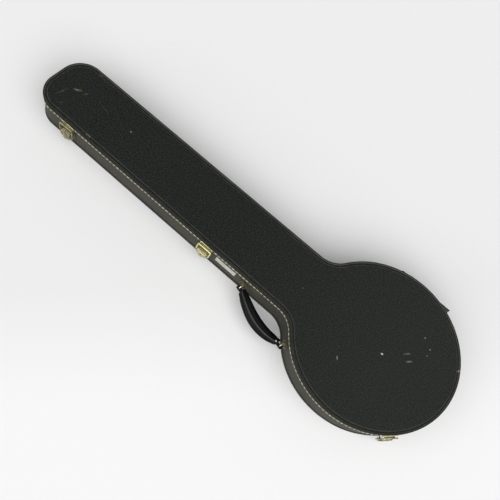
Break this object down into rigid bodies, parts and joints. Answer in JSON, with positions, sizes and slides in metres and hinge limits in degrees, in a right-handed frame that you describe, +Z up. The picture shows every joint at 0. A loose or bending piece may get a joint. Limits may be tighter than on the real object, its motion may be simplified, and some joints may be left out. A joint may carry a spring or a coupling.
{
  "type": "banjo case",
  "caption": "Long hard case for a banjo, lying closed: black vinyl lid with a rolled rim, grey cloth-textured body, brass draw latches, a leather grip and a plush-lined inside.",
  "frame": {"origin": "on the flat bottom, below the middle of the round pot", "axes": "+X along the case towards the pot's far end (the head end is at -X), -Y the front with the latches and the handle, +Z up out of the lid"},
  "size_m": [1.0572, 0.3436, 0.1],
  "materials": {
    "lid_vinyl": "black grained vinyl, softly shining, with light scuffs",
    "body_vinyl": "brownish grey vinyl with a fine woven grain, worn",
    "binding_vinyl": "olive grey vinyl strip, stitched with pale thread on the lid",
    "plush": "short gold-brown plush",
    "bare_wood": "bare plywood edge",
    "bright_brass": "bright brass plating",
    "aged_brass": "tarnished brass plating, brown in the corners",
    "black_steel": "black lacquer",
    "nickel_steel": "dulled nickel plating",
    "grip_leather": "smooth black leather, polished by use",
    "plate_metal": "bare pale plate, satin"
  },
  "bodies": {
    "case_body": {"body_floor_panel": "body_vinyl", "body_wall_band": "body_vinyl", "body_bottom_binding": "binding_vinyl", "body_tongue": "bare_wood", "body_floor_lining": "plush", "body_wall_lining": "plush", "neck_rest": "plush", "well_wall_pot_end": "plush", "well_wall_head_end": "plush", "hinge_head_side_body_block": "black_steel", "hinge_head_side_body_leaf": "black_steel", "hinge_head_side_pin": "nickel_steel", "hinge_tip_side_body_block": "black_steel", "hinge_tip_side_body_leaf": "black_steel", "hinge_tip_side_pin": "nickel_steel", "head_latch_base": "aged_brass", "head_latch_pin": "aged_brass", "neck_latch_base": "bright_brass", "neck_latch_pin": "bright_brass", "pot_latch_base": "aged_brass", "pot_latch_pin": "aged_brass", "front_plate": "plate_metal", "handle_bracket_neck": "aged_brass", "handle_bracket_pot": "aged_brass"},
    "lid": {"lid_top_panel": "lid_vinyl", "lid_wall_band": "lid_vinyl", "lid_stitched_binding": "binding_vinyl", "lid_pad": "plush", "lid_wall_lining": "plush", "hinge_head_side_lid_block": "black_steel", "hinge_head_side_lid_leaf": "black_steel", "hinge_tip_side_lid_block": "black_steel", "hinge_tip_side_lid_leaf": "black_steel", "head_latch_strike": "aged_brass", "neck_latch_strike": "bright_brass", "pot_latch_strike": "aged_brass"},
    "head_lever": {"head_latch_lever": "aged_brass"},
    "head_bail": {"head_latch_bail": "aged_brass"},
    "neck_lever": {"neck_latch_lever": "bright_brass"},
    "neck_bail": {"neck_latch_bail": "bright_brass"},
    "pot_lever": {"pot_latch_lever": "aged_brass"},
    "pot_bail": {"pot_latch_bail": "aged_brass"},
    "handle": {"handle_grip": "grip_leather", "handle_ring_pot": "nickel_steel", "handle_ring_neck": "nickel_steel"}
  },
  "joints": [
    {"name": "lid_hinge", "type": "hinge", "parent": "case_body", "child": "lid", "pos_m": [0, 0.1714, 0.074], "axis": [-1, 0, 0], "range_deg": [0, 110]},
    {"name": "head_latch_lever_hinge", "type": "hinge", "parent": "case_body", "child": "head_lever", "pos_m": [-0.77708, -0.07218, 0.054], "axis": [-0.9999, 0.0104, 0], "range_deg": [0, 120]},
    {"name": "head_latch_bail_hinge", "type": "hinge", "parent": "head_lever", "child": "head_bail", "pos_m": [-0.77706, -0.07068, 0.04], "axis": [-0.9999, 0.0104, 0], "range_deg": [-120, 0]},
    {"name": "neck_latch_lever_hinge", "type": "hinge", "parent": "case_body", "child": "neck_lever", "pos_m": [-0.40008, -0.07611, 0.054], "axis": [-0.9999, 0.0104, 0], "range_deg": [0, 120]},
    {"name": "neck_latch_bail_hinge", "type": "hinge", "parent": "neck_lever", "child": "neck_bail", "pos_m": [-0.40006, -0.07461, 0.04], "axis": [-0.9999, 0.0104, 0], "range_deg": [-120, 0]},
    {"name": "pot_latch_lever_hinge", "type": "hinge", "parent": "case_body", "child": "pot_lever", "pos_m": [0.13922, -0.12565, 0.054], "axis": [-0.7452, -0.6668, 0], "range_deg": [0, 120]},
    {"name": "pot_latch_bail_hinge", "type": "hinge", "parent": "pot_lever", "child": "pot_bail", "pos_m": [0.13822, -0.12453, 0.04], "axis": [-0.7452, -0.6668, 0], "range_deg": [-120, 0]},
    {"name": "handle_swing", "type": "hinge", "parent": "case_body", "child": "handle", "pos_m": [-0.22038, -0.09552, 0.044], "axis": [-0.9658, 0.2592, 0], "range_deg": [-80, 80]}
  ],
  "couplings": [
    {"joint": "head_latch_bail_hinge", "follows": "head_latch_lever_hinge", "ratio": -1},
    {"joint": "neck_latch_bail_hinge", "follows": "neck_latch_lever_hinge", "ratio": -1},
    {"joint": "pot_latch_bail_hinge", "follows": "pot_latch_lever_hinge", "ratio": -1}
  ]
}
